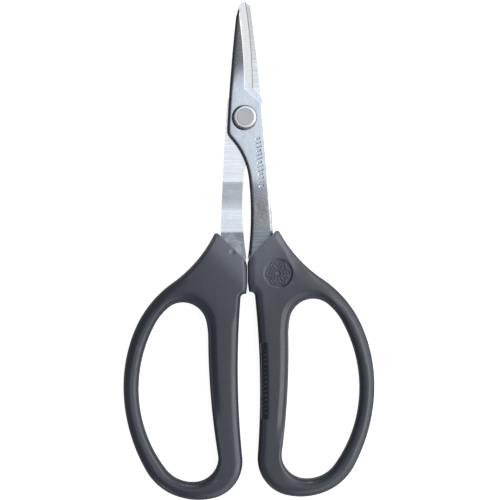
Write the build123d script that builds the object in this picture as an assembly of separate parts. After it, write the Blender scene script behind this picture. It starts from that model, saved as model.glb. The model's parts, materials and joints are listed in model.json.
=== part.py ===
from build123d import *
import math
import os

# Floral snips: two like blade blanks, the rear one turned over, on one pivot bolt, each with a
# plastic finger loop moulded over its tang. Millimetres, +Z up, the snips lie flat on z = 0.
# Shapes are drawn about the pivot: +Y runs to the blade tips, +X to the front blade's handle.

# ---- driving dimensions ----
PIVOT_Y = 47.87            # the pivot's place along Y, counted from the middle of the length
MID_Z = 5.5                # the plane where the two blades meet
HANDLE_THICK = 11.0
BOW_THICK = 8.5            # the bow is slimmer than the leg
BLADE_THICK = 2.4
BLADE_GAP = 0.03           # running gap between the blades
HANDLE_STAGGER = 0.34      # each handle sits this far up (right) or down (left) from the middle

EDGE_RADIUS = 205.0        # the cutting edge is an arc
EDGE_X = 2.9               # furthest reach of the edge past the pivot's centre line
EDGE_Y = 12.0              # where the edge reaches that far
TIP_Y = 41.5
HEEL_Y = 10.5              # lower end of the cutting edge
BEVEL_TURN_Y = 10.2        # the bevel's inner line follows the edge down to here,
BEVEL_RUN_OUT = (4.7, 5.5)         # and then slants through here to the blade's side
FRONT_TIP_CORNER = (-1.55, 40.5)   # where the spine meets the blunt tip
REAR_TIP_CORNER = (-2.4, 40.2)     # the rear blade's tip is left a little fuller
EDGE_LAND = 0.35           # thickness left at the cutting edge
BEVEL_WIDTH = 3.1
SPINE_CHAMFER = 0.8        # chamfer's width on the outer face
SPINE_CHAMFER_DEPTH = 0.5
STAMP_FIRST = (4.3, -7.8)          # a row of stamped bars runs along the shank
STAMP_LAST = (5.45, -24.8)
STAMP_BARS = 13
STAMP_DEPTH = 0.15
FACET_TILT = 8.0           # degrees, the ground facet beside the spine near the tip
FACET_START_Y = 13.0
FACET_FULL_Y = 21.0

TANG_START_Y = -50.0       # the tang inside the handle has plain square edges
ANCHOR_X = 9.0             # two holes in the tang that the plastic fills
ANCHOR_YS = (-72.0, -88.0)
ANCHOR_DIA = 3.2
BEND_START_Y = -23.1       # the shank steps to the mid-plane between these two lines
BEND_END_Y = -33.3
BEND_STEP = BLADE_THICK / 2 + BLADE_GAP / 2

BOLT_DIA = 5.0
BOLT_CLEARANCE = 0.05      # radial, between the bolt and the turning blade
BOLT_FLATS = 4.2           # across the flats that key the bolt in the rear blade
THREAD_DIA = 4.0
HEAD_DIA = 7.8
HEAD_HIGH = 1.6
HEAD_CHAMFER = 0.35
HEAD_RING_DIA = 5.0        # a fine turned groove on the head
SPRING_DIA = 7.2
WASHER_DIA = 9.15
WASHER_THICK = 0.5
WASHER_SLOPE = 0.6         # width of the slope round the washer's rim
WASHER_SLOPE_DEPTH = 0.35
WASHER_HOLE = 5.8
WASHER_SHIFT = (-0.27, -0.2)       # it lies off centre, as far as its wide hole lets it
AXIAL_PLAY = 0.02          # between the front blade and the washer under the head
NUT_FLATS = 7.0
NUT_HIGH = 2.0
THREAD_PAST_NUT = 0.3

STOP_X = 0.06              # half the gap between the stop blocks when the snips are shut
TAPER_START_X = 16.0       # the handle starts to get slimmer here
LOOP_ROUND = 2.4           # rounding of the handle's edges round the finger hole
OUTER_ROUND = 2.0          # rounding of its outer edges
EMBLEM_CENTRE = (11.05, -56.55)
EMBLEM_DIA = 10.6
EMBLEM_DEPTH = 0.5
PETAL_HIGH = 0.25
PETALS = 6
DIMPLE_CENTRE = (5.26, -48.05)
DIMPLE_DIA = 2.8
DIMPLE_DEPTH = 1.2
PANEL_LONG = 28.0          # a shallow ribbed panel on the leg's rounded inner shoulder
PANEL_WIDE = 2.4
PANEL_DEPTH = 0.3
PANEL_CENTRE = (4.6, -95.0)

FAR = 200.0                # larger than the snips, for half-space cuts


def arc_run(start, heading, points):
    """Arcs through the points, each tangent to the one before; heading in degrees."""
    tangent = Vector(1, 0).rotate(Axis.Z, heading)
    arcs = []
    for point in points:
        arc = TangentArc(start, point, tangent=tangent)
        arcs.append(arc)
        start = arc @ 1
        tangent = arc % 1
    return arcs


def slab(y_low, y_high):
    """Everything between two planes across the snips."""
    return Pos(0, (y_low + y_high) / 2, 0) * Box(FAR, y_high - y_low, FAR)


# ---- blade blank, drawn as the front blade with its inner face on z = 0 ----
def edge_x(y, inset=0.0):
    """X of the cutting edge, or of a line a fixed distance inside it."""
    radius = EDGE_RADIUS - inset
    return EDGE_X - EDGE_RADIUS + math.sqrt(radius**2 - (y - EDGE_Y)**2)


def blade_outline(tip_corner):
    """Plan shape of blade, shank and tang, clockwise from the tip of the cutting edge."""
    tip = (edge_x(TIP_Y), TIP_Y)
    heel = (edge_x(HEEL_Y), HEEL_Y)
    shoulder = (6.35, 6.3)
    shank_out = (9.35, -42.0)
    shank_in = (0.25, -50.6)
    heel_corner = (-6.62, -6.0)
    lines = [
        ThreePointArc(tip, (edge_x(27), 27), heel),
        Line(heel, shoulder),
        ThreePointArc(shoulder, (8.05, -18), shank_out),
        Polyline(shank_out, (11.8, -60), (11.8, -95.2)),
        ThreePointArc((11.8, -95.2), (9.0, -98), (6.2, -95.2)),
        Polyline((6.2, -95.2), (6.2, -62), (3.4, -56), shank_in),
        *arc_run(shank_in, 81.5, [(1.0, -22.2), (-5.0, -8.0)]),
        Line((-5.0, -8.0), heel_corner),
        ThreePointArc(heel_corner, (-5.42, 16), (-2.84, 35.8)),
        Polyline((-2.84, 35.8), tip_corner, (-0.2, TIP_Y), tip),
    ]
    face = make_face(lines)
    near_heel = face.vertices().sort_by_distance(heel_corner)[0]
    return fillet(near_heel, 3.5)


def chamfered_blank(tip_corner):
    """The flat blank with its outer face chamfered along spine and shank, not along the edge."""
    blank = extrude(blade_outline(tip_corner), BLADE_THICK)
    top = blank.faces().sort_by(Axis.Z)[-1]

    def is_dressed(edge):
        middle = edge @ 0.5
        on_edge_side = middle.Y > 0 and middle.X > edge_x(middle.Y) - 0.6
        return not on_edge_side and TANG_START_Y < middle.Y < TIP_Y - 2.5

    dressed = [edge for edge in top.edges() if is_dressed(edge)]
    return chamfer(dressed, SPINE_CHAMFER, SPINE_CHAMFER_DEPTH, reference=top)


def edge_bevel():
    """Cutter for the main bevel: a cone about the cutting edge's centre, mitred at the heel."""
    centre = (EDGE_X - EDGE_RADIUS, EDGE_Y, 0)
    rise = (BLADE_THICK - EDGE_LAND) / BEVEL_WIDTH
    reach = 1.0
    section = Plane.XZ * make_face(Polyline(
        (EDGE_RADIUS + reach, EDGE_LAND - reach * rise),
        (EDGE_RADIUS - BEVEL_WIDTH - reach, BLADE_THICK + reach * rise),
        (EDGE_RADIUS + reach, BLADE_THICK + reach * rise),
        close=True,
    ))
    ring = Pos(*centre) * Rot(0, 0, -15) * revolve(section, Axis.Z, 30)
    inner = Vector(edge_x(BEVEL_TURN_Y, BEVEL_WIDTH), BEVEL_TURN_Y)
    heel = Vector(edge_x(HEEL_Y), HEEL_Y)
    run_out = Vector(*BEVEL_RUN_OUT)
    mitre = (heel - inner).normalized()
    above = make_face(Polyline(
        inner - mitre * 20, heel + mitre * 20, (40, 80), (-60, 80), close=True))
    cone_cut = ring & extrude(above, FAR, both=True)
    # below the mitre the bevel turns along the shoulder as a plane that runs out at its end
    along = (run_out - inner).normalized()
    away = Vector(-along.Y, along.X)
    drop = BLADE_THICK - EDGE_LAND
    slope = math.degrees(math.atan2(drop, (heel - inner).dot(away)))
    ramp = Plane(
        origin=inner + Vector(0, 0, BLADE_THICK),
        x_dir=along,
        z_dir=away * math.sin(math.radians(slope)) + Vector(0, 0, math.cos(math.radians(slope))),
    )
    below = make_face(Polyline(
        inner, heel + mitre * 4, run_out + away * 6 + along * 6, run_out + along * 6,
        close=True))
    above_ramp = ramp * Pos(0, 0, FAR / 2) * Box(FAR, FAR, FAR)
    return cone_cut + (extrude(below, FAR, both=True) & above_ramp)


def spine_facet():
    """Cutter for the facet beside the spine: it twists in from nothing, then keeps its tilt."""
    def section(y, tilt):
        ridge = edge_x(y, BEVEL_WIDTH)
        slope = math.tan(math.radians(tilt))
        return Plane(origin=(ridge, y, BLADE_THICK), x_dir=(1, 0, 0), z_dir=(0, -1, 0)) * make_face(
            Polyline((1.2, 1.2 * slope), (-8, -8 * slope), (-8, 3), (1.2, 3), close=True))

    per_mm = FACET_TILT / (FACET_FULL_Y - FACET_START_Y)
    lead = 2.0
    stations = [
        (FACET_START_Y - lead, -lead * per_mm),
        (FACET_FULL_Y, FACET_TILT),
        (31, FACET_TILT),
        (TIP_Y + 1, FACET_TILT),
    ]
    return loft([section(y, tilt) for y, tilt in stations], ruled=True)


def stepped(flat):
    """Step the shank down by BEND_STEP between the two bend lines, as a shear of that stretch."""
    fall = BEND_STEP / (BEND_START_Y - BEND_END_Y)
    shear = Matrix([
        [1, 0, 0, 0],
        [0, 1, 0, 0],
        [0, fall, 1, -fall * BEND_START_Y],
        [0, 0, 0, 1],
    ])
    blade = flat & slab(BEND_START_Y, FAR)
    ramp = (flat & slab(BEND_END_Y, BEND_START_Y)).transform_geometry(shear)
    tang = Pos(0, 0, -BEND_STEP) * (flat & slab(-FAR, BEND_END_Y))
    return blade + ramp + tang


def blade_half(tip_corner):
    """Blade, shank and tang without the pivot hole; its inner face is on z = 0."""
    ground = chamfered_blank(tip_corner) - edge_bevel() - spine_facet()
    half = stepped(ground)
    for y in ANCHOR_YS:
        half -= Pos(ANCHOR_X, y, 0) * Cylinder(ANCHOR_DIA / 2, FAR)
    return half


def stamp_bars():
    """A row of short slanted bars along the shank, cut into the outer face."""
    first = Vector(*STAMP_FIRST)
    last = Vector(*STAMP_LAST)
    fall = BEND_STEP / (BEND_START_Y - BEND_END_Y)
    bars = []
    for i in range(STAMP_BARS):
        place = first + (last - first) * (i / (STAMP_BARS - 1))
        face = BLADE_THICK - fall * max(BEND_START_Y - place.Y, 0)
        length = 2.4 if i % 3 else 1.7
        bars.append(Pos(place.X, place.Y, face) * Rot(0, 0, 14) * Box(length, 0.55, 2 * STAMP_DEPTH))
    return bars


def turned_over(shape):
    """The same piece turned over about the snips' long axis."""
    return Pos(0, 0, 2 * MID_Z) * Rot(0, 180, 0) * shape


def in_place(shape):
    """From the pivot's frame to the snips' own frame."""
    return Pos(0, PIVOT_Y, 0) * shape


# ---- handle, drawn as the right one with its thickness centred on MID_Z ----
def handle_outline():
    """Outer shape: nose, bow, bottom, leg and the stop block that meets the other handle."""
    bow_start = (11.5, -41.2)
    leg_end = (2.9, -67.7)
    return make_face([
        *arc_run(bow_start, -63, [
            (27.0, -58.9), (41.3, -76.8), (45.1, -98.0), (37.4, -126.2),
            (26.4, -135.5), (13.4, -136.4), (2.8, -122.2), leg_end]),
        Polyline(
            leg_end, (2.52, -63.15), (0.5, -63.15), (STOP_X, -59.5),
            (STOP_X, -53.0), (0.57, -51.2), (11.19, -40.58), bow_start),
    ])


def finger_hole():
    """The loop's opening."""
    return make_face(arc_run((23.4, -65.9), 180.3, [
        (15.0, -72.8), (14.4, -79.0), (11.5, -120.7), (19.1, -130.7), (30.5, -125.8),
        (39.2, -104.9), (39.0, -89.0), (33.7, -73.9), (28.7, -67.8), (23.4, -65.9)]))


def thickness_wedge():
    """Side limits of the handle: full thickness at the leg, slimmer towards the bow."""
    full = HANDLE_THICK / 2
    slim = BOW_THICK / 2
    section = make_face(Polyline(
        (-5, full), (TAPER_START_X, full), (46, slim),
        (46, -slim), (TAPER_START_X, -full), (-5, -full), close=True))
    return Pos(0, 0, MID_Z) * extrude(Plane.XZ * section, 160)


def round_rims(body, radius, is_wanted):
    """Round the upper and lower edges of the handle that is_wanted picks by their middles."""
    def is_rim(edge):
        heights = [abs((edge @ t).Z - MID_Z) for t in (0, 0.5, 1)]
        across_face = abs((edge @ 0).X - (edge @ 1).X) < 0.01 and edge.geom_type == GeomType.LINE
        return min(heights) > BOW_THICK / 2 - LOOP_ROUND and not (
            across_face and abs((edge @ 0).X - TAPER_START_X) < 0.01)

    return fillet([e for e in body.edges() if is_rim(e) and is_wanted(e @ 0.5)], radius)


def emblem():
    """A round recess with a plain six-petalled flower standing in it."""
    recess = Cylinder(EMBLEM_DIA / 2, EMBLEM_DEPTH * 2)
    petal = extrude(Pos(2.5, 0) * Ellipse(1.9, 0.95), PETAL_HIGH)
    flower = Cylinder(1.1, PETAL_HIGH, align=(Align.CENTER, Align.CENTER, Align.MIN))
    for i in range(PETALS):
        flower += Rot(0, 0, i * 360 / PETALS) * petal
    x, y = EMBLEM_CENTRE
    return Pos(x, y, MID_Z + HANDLE_THICK / 2) * (recess - Pos(0, 0, -EMBLEM_DEPTH) * flower)


def shoulder_panel():
    """Cutter for the shallow panel on the leg's rounded shoulder, with ribs left standing."""
    panel = Box(PANEL_WIDE, PANEL_LONG, 2 * PANEL_DEPTH)
    ribs = 13
    for i in range(ribs):
        y = (i - (ribs - 1) / 2) * PANEL_LONG / (ribs + 1)
        panel -= Pos(0, y, -PANEL_DEPTH) * Box(PANEL_WIDE * 0.6, 0.7, PANEL_DEPTH)
    x, y = PANEL_CENTRE
    return Pos(x, y, MID_Z + HANDLE_THICK / 2 - 0.6) * Rot(0, -45, 0) * panel


def handle():
    """The moulding, solid where the tang goes; each half cuts its own pocket from it."""
    hole = finger_hole()

    def beside_hole(point):
        return hole.distance_to(Vector(point.X, point.Y)) < LOOP_ROUND + 0.2

    body = extrude(handle_outline() - hole, HANDLE_THICK) & thickness_wedge()
    body = round_rims(body, LOOP_ROUND, beside_hole)
    body = round_rims(body, OUTER_ROUND, lambda point: not beside_hole(point))
    x, y = DIMPLE_CENTRE
    dimple = Pos(x, y, 0) * Cylinder(DIMPLE_DIA / 2, 2 * DIMPLE_DEPTH)
    return body - emblem() - shoulder_panel() - dimple


# ---- pivot hardware, about the pivot's axis ----
def pivot_bolt(rear_bottom, washer_top, end_z):
    """Bolt with a round head; flats key it in the rear blade, and its end takes the nut."""
    low = (Align.CENTER, Align.CENTER, Align.MIN)
    head = Cylinder(HEAD_DIA / 2, HEAD_HIGH, align=low)
    head = chamfer(head.edges().sort_by(Axis.Z)[-1], HEAD_CHAMFER)
    ring = Pos(0, 0, HEAD_HIGH) * (
        Cylinder(HEAD_RING_DIA / 2 + 0.12, 0.16) - Cylinder(HEAD_RING_DIA / 2 - 0.12, 0.16))
    head = Pos(0, 0, washer_top) * (head - ring)
    neck_low = MID_Z - BLADE_GAP / 2
    neck = Pos(0, 0, neck_low) * Cylinder(BOLT_DIA / 2, washer_top - neck_low, align=low)
    keyed = Pos(0, 0, rear_bottom) * Cylinder(BOLT_DIA / 2, neck_low - rear_bottom, align=low)
    keyed &= Pos(0, 0, rear_bottom) * Box(BOLT_FLATS, 2 * BOLT_DIA, 2 * BLADE_THICK, align=low)
    thread = Pos(0, 0, end_z) * Cylinder(THREAD_DIA / 2, rear_bottom - end_z, align=low)
    thread = chamfer(thread.edges().sort_by(Axis.Z)[0], 0.25)
    return head + neck + keyed + thread


def plain_washer():
    """Thin round washer that the head bears on, pushed to one side of the bolt."""
    low = (Align.CENTER, Align.CENTER, Align.MIN)
    ring = Cylinder(WASHER_DIA / 2, WASHER_THICK, align=low)
    top = ring.faces().sort_by(Axis.Z)[-1]
    ring = chamfer(top.edges(), WASHER_SLOPE, WASHER_SLOPE_DEPTH, reference=top)
    ring -= Cylinder(WASHER_HOLE / 2, 4 * WASHER_THICK)
    return Pos(*WASHER_SHIFT) * ring


def split_washer():
    """Flat-pressed spring washer with its slanting split."""
    low = (Align.CENTER, Align.CENTER, Align.MIN)
    ring = Cylinder(SPRING_DIA / 2, WASHER_THICK, align=low)
    ring -= Cylinder(THREAD_DIA / 2 + 0.1, 4 * WASHER_THICK)
    return ring - Pos(SPRING_DIA / 2 - 0.6, 0, 0) * Rot(35, 0, 0) * Box(3, 0.4, 4)


def thin_nut():
    """Thin hexagon nut with its corners chamfered on the outer side."""
    nut = extrude(RegularPolygon(NUT_FLATS / 2, 6, major_radius=False), NUT_HIGH)
    cone = Pos(0, 0, NUT_HIGH / 2) * Cone(NUT_FLATS / 2, NUT_FLATS / 2 + 2 * NUT_HIGH, NUT_HIGH)
    nut &= cone
    return nut - Cylinder(THREAD_DIA / 2, 4 * NUT_HIGH)


def make_parts():
    """Every node by name, in the pivot's frame."""
    front_half = Pos(0, 0, MID_Z + BLADE_GAP / 2) * blade_half(FRONT_TIP_CORNER)
    rear_half = turned_over(Pos(0, 0, MID_Z + BLADE_GAP / 2) * blade_half(REAR_TIP_CORNER))
    front_top = MID_Z + BLADE_GAP / 2 + BLADE_THICK
    rear_bottom = MID_Z - BLADE_GAP / 2 - BLADE_THICK
    washer_low = front_top + AXIAL_PLAY
    washer_top = washer_low + WASHER_THICK
    nut_low = rear_bottom - WASHER_THICK - NUT_HIGH

    # the handle is drawn once; the other half's tang is turned over to cut its pocket
    up = Pos(0, HANDLE_STAGGER, 0)
    down = Pos(0, -HANDLE_STAGGER, 0)
    moulding = handle()
    right = up * moulding - front_half
    left = turned_over(down * moulding) - rear_half
    bolt = pivot_bolt(rear_bottom, washer_top, nut_low - THREAD_PAST_NUT)
    swing_hole = Cylinder(BOLT_DIA / 2 + BOLT_CLEARANCE, FAR)
    keyed_hole = Cylinder(BOLT_DIA / 2, FAR) & Box(BOLT_FLATS, FAR, FAR)
    front = front_half - swing_hole
    for bar in stamp_bars():
        front -= Pos(0, 0, MID_Z + BLADE_GAP / 2) * bar
    return {
        "front_blade": front,
        "rear_blade": rear_half - keyed_hole,
        "right_handle": right,
        "left_handle": left,
        "pivot_bolt": bolt,
        "head_washer": Pos(0, 0, washer_low) * plain_washer(),
        "spring_washer": Pos(0, 0, rear_bottom - WASHER_THICK) * split_washer(),
        "pivot_nut": Pos(0, 0, nut_low) * thin_nut(),
    }


if __name__ == "__main__":
    os.makedirs("parts", exist_ok=True)
    parts = make_parts()
    for name, shape in parts.items():
        placed = in_place(shape)
        export_step(placed, f"parts/{name}.step")
        print(name, round(placed.volume, 1), placed.is_valid, len(placed.solids()))
    whole = Compound([in_place(shape) for shape in parts.values()]).bounding_box()
    print("low", whole.min, "high", whole.max)
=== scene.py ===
import bpy
import json
import math
import numpy as np
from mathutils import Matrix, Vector
from mathutils.geometry import delaunay_2d_cdt


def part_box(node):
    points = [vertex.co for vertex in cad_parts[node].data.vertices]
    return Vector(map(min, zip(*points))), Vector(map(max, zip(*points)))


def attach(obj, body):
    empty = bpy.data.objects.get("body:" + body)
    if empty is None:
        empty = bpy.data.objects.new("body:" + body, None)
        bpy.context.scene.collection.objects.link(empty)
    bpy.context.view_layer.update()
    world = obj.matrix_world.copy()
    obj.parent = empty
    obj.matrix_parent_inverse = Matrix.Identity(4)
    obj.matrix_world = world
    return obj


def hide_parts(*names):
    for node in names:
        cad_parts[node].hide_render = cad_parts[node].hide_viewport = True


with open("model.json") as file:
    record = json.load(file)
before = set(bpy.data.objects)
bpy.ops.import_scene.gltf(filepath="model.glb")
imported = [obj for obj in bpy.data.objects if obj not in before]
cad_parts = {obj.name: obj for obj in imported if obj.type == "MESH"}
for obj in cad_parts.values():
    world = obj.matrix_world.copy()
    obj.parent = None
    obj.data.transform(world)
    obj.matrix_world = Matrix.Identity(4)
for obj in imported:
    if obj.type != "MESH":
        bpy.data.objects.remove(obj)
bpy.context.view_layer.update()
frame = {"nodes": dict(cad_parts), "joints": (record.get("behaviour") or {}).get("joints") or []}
nodes = frame["nodes"]

MM = 0.001
PIVOT = Vector(frame["joints"][0]["pos_m"])  # pieces are drawn about the pivot, in millimetres
MID_Z = PIVOT.z / MM

SHARP_ANGLE = math.radians(32)  # steeper creases are drawn sharp


def smooth(t):
    """0 below 0, 1 above 1, smooth between."""
    t = np.clip(t, 0, 1)
    return t * t * (3 - 2 * t)


def grow(value, start, end):
    """0 at start, 1 at end, which may lie below start, and smooth between them."""
    return smooth((value - start) / (end - start))


def within(value, low, high, soft):
    """1 between low and high, 0 outside them, with soft ends."""
    return smooth((value - low) / soft) * smooth((high - value) / soft)


def soft_ramp(t, blur):
    """0 below 0, t above it, with a rounded corner."""
    return 0.5 * (t + np.sqrt(t * t + blur * blur))


def quarter_round(distance, radius):
    """How far a rounded edge lies below the face, at a distance in from the edge."""
    inside = np.clip(radius - distance, 0, radius)
    return radius - np.sqrt(radius * radius - inside * inside)


# ---- outlines: closed loops of points, the material always on the right of the way round ----
def arc_points(start, heading, end, step):
    """Points of the arc that leaves start along heading and reaches end, without end itself."""
    chord = math.dist(start, end)
    bend = math.atan2(end[1] - start[1], end[0] - start[0]) - heading
    bend = math.atan2(math.sin(bend), math.cos(bend))
    radius = chord / (2 * math.sin(bend))
    length = radius * 2 * bend
    count = max(2, round(length / step))
    ahead = (math.cos(heading), math.sin(heading))
    points = []
    for i in range(count):
        turned = 2 * bend * i / count
        along, aside = radius * math.sin(turned), radius * (1 - math.cos(turned))
        points.append((start[0] + along * ahead[0] - aside * ahead[1],
                       start[1] + along * ahead[1] + aside * ahead[0]))
    return points, heading + 2 * bend


def arc_run(start, heading, ends, step):
    """Points along arcs that follow each other without a corner."""
    points = []
    heading = math.radians(heading)
    for end in ends:
        more, heading = arc_points(start, heading, end, step)
        points += more
        start = end
    return points


def bowed_line(start, end, sag, step):
    """Points along a shallow arc that bows sag to the left of the way from start to end."""
    if sag == 0:
        count = max(1, round(math.dist(start, end) / step))
        return [(start[0] + (end[0] - start[0]) * i / count,
                 start[1] + (end[1] - start[1]) * i / count) for i in range(count)]
    turn = 2 * math.atan2(2 * sag, math.dist(start, end))
    heading = math.atan2(end[1] - start[1], end[0] - start[0]) + turn
    return arc_points(start, heading, end, step)[0]


def rounded_line(start, corners, end, step):
    """Points from start to end by way of corners (x, y, radius), each rounded."""
    stops = [start, *[corner[:2] for corner in corners], end]
    points = []
    at = Vector(start)
    for (x, y, radius), before, after in zip(corners, stops, stops[2:]):
        corner = Vector((x, y))
        back = (Vector(before) - corner).normalized()
        on = (Vector(after) - corner).normalized()
        half_angle = back.angle(on) / 2
        reach = radius / math.tan(half_angle)
        enter, leave = corner + back * reach, corner + on * reach
        centre = corner + (back + on).normalized() * (radius / math.sin(half_angle))
        points += bowed_line(at, enter, 0, step)
        turn = math.pi - 2 * half_angle
        count = max(3, round(turn / math.radians(12)))
        spoke, last = enter - centre, leave - centre
        for i in range(count):
            share = i / count
            mixed = spoke * math.sin((1 - share) * turn) + last * math.sin(share * turn)
            points.append(tuple(centre + mixed / math.sin(turn)))
        at = leave
    return points + bowed_line(at, end, 0, step)


def distance_to(points, line, closed=True):
    """Distance from each point to an outline, or to an open line of points."""
    starts, ends = (line, np.roll(line, -1, axis=0)) if closed else (line[:-1], line[1:])
    edge = ends - starts
    length_squared = (edge ** 2).sum(1)
    nearest = np.empty(len(points))
    for i in range(0, len(points), 2000):
        offset = points[i:i + 2000, None, :] - starts[None]
        share = np.clip((offset * edge).sum(2) / length_squared, 0, 1)
        gap = offset - share[..., None] * edge
        nearest[i:i + 2000] = np.sqrt((gap ** 2).sum(2)).min(1)
    return nearest


def is_inside(points, loop):
    """Even-odd test of points against a closed outline."""
    ends = np.roll(loop, -1, axis=0)
    rise = ends[:, 1] - loop[:, 1]
    rise = np.where(rise == 0, 1e-12, rise)
    inside = []
    for part in np.array_split(points, len(points) // 2000 + 1):
        x, y = part[:, 0, None], part[:, 1, None]
        crosses = (loop[None, :, 1] > y) != (ends[None, :, 1] > y)
        at_x = loop[:, 0] + (y - loop[:, 1]) / rise * (ends[:, 0] - loop[:, 0])
        inside.append(((crosses & (x < at_x)).sum(1) % 2) == 1)
    return np.concatenate(inside)


def inward_normals(loop):
    """Unit vectors from the points of a closed outline into the material."""
    tangent = np.roll(loop, -1, axis=0) - np.roll(loop, 1, axis=0)
    tangent /= np.linalg.norm(tangent, axis=1)[:, None]
    return np.stack([tangent[:, 1], -tangent[:, 0]], 1)


def circle(centre, radius, count):
    """A round hole's outline."""
    angles = 2 * math.pi * np.arange(count) / count
    return np.stack([centre[0] + radius * np.cos(angles), centre[1] + radius * np.sin(angles)], 1)


def disc_points(centre, radii, spacing):
    """Points on circles round a centre, about spacing apart."""
    return np.concatenate([
        circle(centre, radius, max(8, round(2 * math.pi * radius / spacing))) for radius in radii])


# ---- solids made of an upper and a lower face over one plan ----
LOOPS_APART = 1.2  # rings stop this far short of the other outline
CLEAR_OF_ROW = 0.05  # and this far from a row of points on a crease
CLEAR_OF_EDGE = 0.04
THINNEST_AREA = 1e-4  # a triangle with all corners on the outline and less area is left out


class Plan:
    """An outline with one hole, and how densely its faces are meshed.

    hole_scale, one number for each point of the hole, draws the hole's rings in."""

    def __init__(self, outer, hole, outer_rings, hole_rings, fill, hole_scale=None):
        self.outer, self.hole = outer, hole
        self.outer_rings, self.hole_rings = outer_rings, hole_rings
        self.fill = fill
        self.hole_scale = np.ones(len(hole)) if hole_scale is None else hole_scale

    def holds(self, points):
        """True for points in the material."""
        return is_inside(points, self.outer) & ~is_inside(points, self.hole)

    def free_points(self, discs, rows):
        """Rings inside both outlines, rows of points on creases, a loose fill, and finer discs."""
        kept = []
        links = []
        clear_of_rows = 0.45 * self.fill

        def keep(points, good, closed):
            """Keeps the good points and links those that follow each other."""
            first = len(self.outer) + len(self.hole) + sum(len(part) for part in kept)
            numbers = np.cumsum(good) - 1 + first
            linked = good & np.roll(good, -1)
            linked[-1] &= closed
            for i in np.flatnonzero(linked):
                links.append((int(numbers[i]), int(numbers[(i + 1) % len(points)])))
            kept.append(points[good])

        for loop, other, rings, scale in (
                (self.outer, self.hole, self.outer_rings, np.ones(len(self.outer))),
                (self.hole, self.outer, self.hole_rings, self.hole_scale)):
            normals = inward_normals(loop)
            for ring in rings:
                reach = ring * scale
                points = loop + normals * reach[:, None]
                good = distance_to(points, loop) > reach * 0.98 - 0.01
                good &= distance_to(points, other) > max(ring + 0.1, LOOPS_APART)
                for centre, clear, _, _ in discs:
                    good &= np.hypot(*(points - centre).T) > clear
                for row in rows:
                    good &= distance_to(points, row, closed=False) > CLEAR_OF_ROW
                keep(points, good, True)
        for row in rows:
            good = self.holds(row)
            good &= distance_to(row, self.outer) > CLEAR_OF_EDGE
            keep(row, good, False)
        low, high = self.outer.min(0), self.outer.max(0)
        grid = np.stack(np.meshgrid(np.arange(low[0], high[0], self.fill),
                                    np.arange(low[1], high[1], self.fill)), -1).reshape(-1, 2)
        good = self.holds(grid)
        good &= distance_to(grid, self.outer) > self.outer_rings[-1] + clear_of_rows
        good &= distance_to(grid, self.hole) > self.hole_rings[-1] + clear_of_rows
        for row in rows:
            good &= distance_to(grid, row, closed=False) > clear_of_rows
        for centre, clear, _, _ in discs:
            good &= np.hypot(*(grid - centre).T) > clear
        kept.append(grid[good])
        for centre, _, radii, spacing in discs:
            kept.append(disc_points(centre, radii, spacing))
        return np.concatenate(kept), links

    def face(self, height_of, discs=(), rows=()):
        """Corners (x, y, height) and triangles of one face, and where the outlines' points went."""
        free, links = self.free_points(discs, rows)
        points = np.concatenate([self.outer, self.hole, free])
        edges = []
        for first, loop in ((0, self.outer), (len(self.outer), self.hole)):
            edges += [(first + i, first + (i + 1) % len(loop)) for i in range(len(loop))]
        found = delaunay_2d_cdt([Vector(p) for p in points], edges + links, [], 0, 1e-5)
        corners = np.array([tuple(v) for v in found[0]])
        triangles = np.array([tuple(f) for f in found[2]])
        inside = self.holds(corners[triangles].mean(1))
        a, b, c = (corners[triangles[:, k]] for k in range(3))
        area = (b - a)[:, 0] * (c - a)[:, 1] - (b - a)[:, 1] * (c - a)[:, 0]
        triangles = np.where((area > 0)[:, None], triangles, triangles[:, ::-1])
        outline_size = len(self.outer) + len(self.hole)
        on_outline = np.array([min(given, default=outline_size) < outline_size for given in found[3]])
        sliver = on_outline[triangles].all(1) & (np.abs(area) < THINNEST_AREA)
        triangles = triangles[inside & ~sliver]
        height = height_of(corners)
        came_from = {given: made for made, all_given in enumerate(found[3]) for given in all_given}
        return np.column_stack([corners, height]), triangles, came_from

    def solid(self, upper_face, lower_face, wall):
        """Closed mesh of both faces and the walls between, and how many faces each of the three has.

        wall(point, z_low, z_high) gives the walls' rows as pairs of height and outward push."""
        top, top_faces, upper = upper_face
        low, low_faces, lower = lower_face
        corners = [tuple(p) for p in top] + [tuple(p) for p in low]
        faces = [tuple(int(k) for k in f) for f in top_faces]
        faces += [tuple(int(k) + len(top) for k in f[::-1]) for f in low_faces]
        for first, loop in ((0, self.outer), (len(self.outer), self.hole)):
            outward = -inward_normals(loop)
            columns = []
            for i, (point, out) in enumerate(zip(loop, outward)):
                above, below = upper[first + i], lower[first + i]
                column = [above]
                for z, push in wall(point, low[below][2], top[above][2]):
                    corners.append((point[0] + out[0] * push, point[1] + out[1] * push, z))
                    column.append(len(corners) - 1)
                columns.append(column + [len(top) + below])
            for here, ahead in zip(columns, columns[1:] + columns[:1]):
                for k in range(len(here) - 1):
                    faces.append((ahead[k], ahead[k + 1], here[k + 1], here[k]))
        used = sorted({corner for face in faces for corner in face})
        place = {corner: i for i, corner in enumerate(used)}
        faces = [tuple(place[corner] for corner in face) for face in faces]
        below = (len(top_faces), len(top_faces) + len(low_faces))
        return np.array(corners)[used], faces, below


def add_object(name, data):
    made = bpy.data.objects.new(name, data)
    bpy.context.scene.collection.objects.link(made)
    return made


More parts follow.
